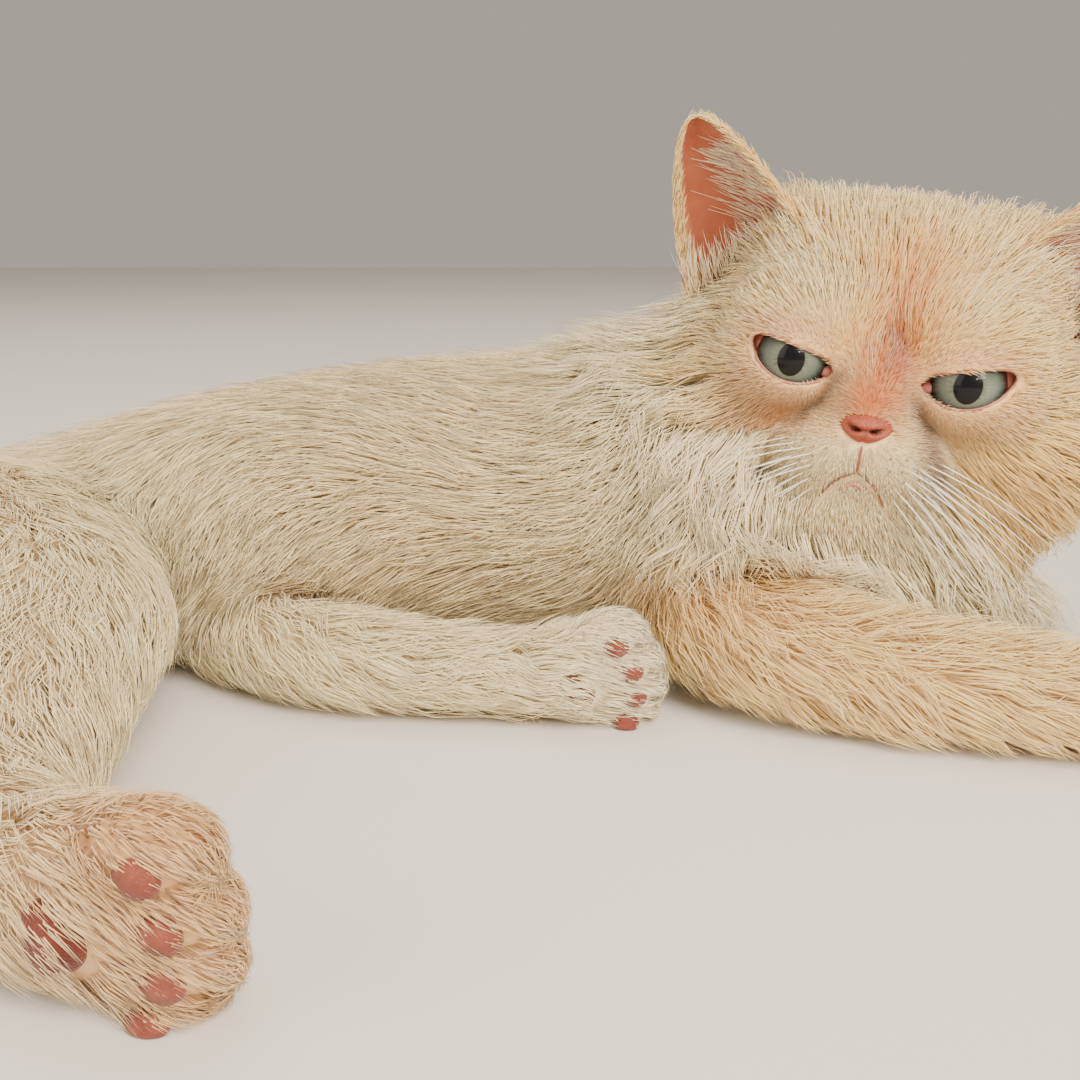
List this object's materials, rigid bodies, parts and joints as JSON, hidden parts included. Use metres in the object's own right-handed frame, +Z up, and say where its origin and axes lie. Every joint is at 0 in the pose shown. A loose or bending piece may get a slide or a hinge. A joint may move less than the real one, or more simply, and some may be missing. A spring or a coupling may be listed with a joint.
{
  "type": "persian cat",
  "caption": "Long-haired Persian cat lying half on its side, head raised, forelegs forward and hind feet out with their soles to the side.",
  "frame": {"origin": "on the floor, at a point of the flat on which the belly rests", "axes": "+X from the rump towards the head, +Y towards the spine, away from the belly and the soles, +Z up from the floor"},
  "size_m": [0.4995, 0.2905, 0.1592],
  "materials": {
    "coat": "long, soft, cream white fur",
    "tinted_coat": "soft fur of a pale orange tint",
    "nose_leather": "bare pink skin, slightly moist",
    "eye": "wet, glossy, grey green iris"
  },
  "bodies": {
    "root": {"eye_left": "eye", "eye_right": "eye", "head": "coat", "nose": "nose_leather", "ear_left": "tinted_coat", "ear_right": "tinted_coat", "neck": "coat", "chest": "coat", "belly": "coat", "forepaw_right": "coat", "forepaw_left": "coat", "hindpaw_right": "coat", "hindpaw_left": "coat", "foreleg_right": "coat", "foreleg_left": "coat", "hindleg_right": "coat", "hindleg_left": "coat", "tail_root": "tinted_coat", "tail_tip": "tinted_coat"}
  },
  "joints": []
}
